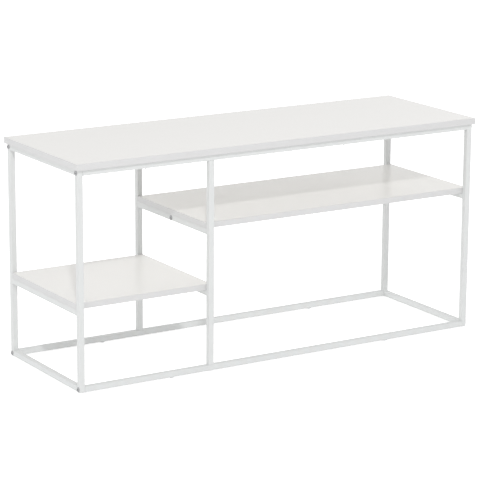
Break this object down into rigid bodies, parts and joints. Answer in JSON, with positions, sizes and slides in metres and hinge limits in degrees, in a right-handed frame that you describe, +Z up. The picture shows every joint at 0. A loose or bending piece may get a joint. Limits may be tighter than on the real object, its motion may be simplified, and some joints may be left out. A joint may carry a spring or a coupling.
{
  "type": "console table",
  "caption": "Low, long console table: a thin rectangular top on a frame of slim square tubes, with a long upper shelf beside a short lower one.",
  "frame": {"origin": "on the floor, under the middle of the top board", "axes": "+X runs along the table from the end with the short shelf to the other end, +Y from its front to its back, and +Z is up"},
  "size_m": [1.2, 0.4, 0.581],
  "materials": {
    "painted_steel": "satin",
    "white_laminate": "satin",
    "white_edging": "satin",
    "zinc_steel": "satin",
    "plug_plastic": "matte",
    "glide_plastic": "matte"
  },
  "bodies": {
    "root": {"centre_rail_bolts": "zinc_steel", "centre_rail_threaded_plugs": "zinc_steel", "corner_bolts": "zinc_steel", "front_bottom_rail": "painted_steel", "front_top_rail": "painted_steel", "left_bottom_crossbar": "painted_steel", "left_front_glide": "glide_plastic", "left_front_leg": "painted_steel", "left_rear_glide": "glide_plastic", "left_rear_leg": "painted_steel", "left_top_crossbar": "painted_steel", "leg_end_plugs": "plug_plastic", "long_rail_threaded_plugs": "zinc_steel", "long_shelf_board": "white_laminate", "long_shelf_board_screws": "zinc_steel", "long_shelf_centre_rail": "painted_steel", "long_shelf_end_crossbar": "painted_steel", "long_shelf_front_edge_band": "white_edging", "long_shelf_left_edge_band": "white_edging", "long_shelf_rear_edge_band": "white_edging", "long_shelf_right_edge_band": "white_edging", "middle_front_post": "painted_steel", "middle_lower_crossbar": "painted_steel", "middle_rear_post": "painted_steel", "middle_upper_crossbar": "painted_steel", "post_cap_screws": "zinc_steel", "post_threaded_plugs": "zinc_steel", "rear_bottom_rail": "painted_steel", "rear_top_rail": "painted_steel", "right_bottom_crossbar": "painted_steel", "right_front_glide": "glide_plastic", "right_front_leg": "painted_steel", "right_rear_glide": "glide_plastic", "right_rear_leg": "painted_steel", "right_top_crossbar": "painted_steel", "short_shelf_board": "white_laminate", "short_shelf_board_screws": "zinc_steel", "short_shelf_end_crossbar": "painted_steel", "short_shelf_front_edge_band": "white_edging", "short_shelf_left_edge_band": "white_edging", "short_shelf_rear_edge_band": "white_edging", "short_shelf_right_edge_band": "white_edging", "top_board": "white_laminate", "top_board_screws": "zinc_steel", "top_front_edge_band": "white_edging", "top_left_edge_band": "white_edging", "top_rear_edge_band": "white_edging", "top_right_edge_band": "white_edging"}
  },
  "joints": []
}
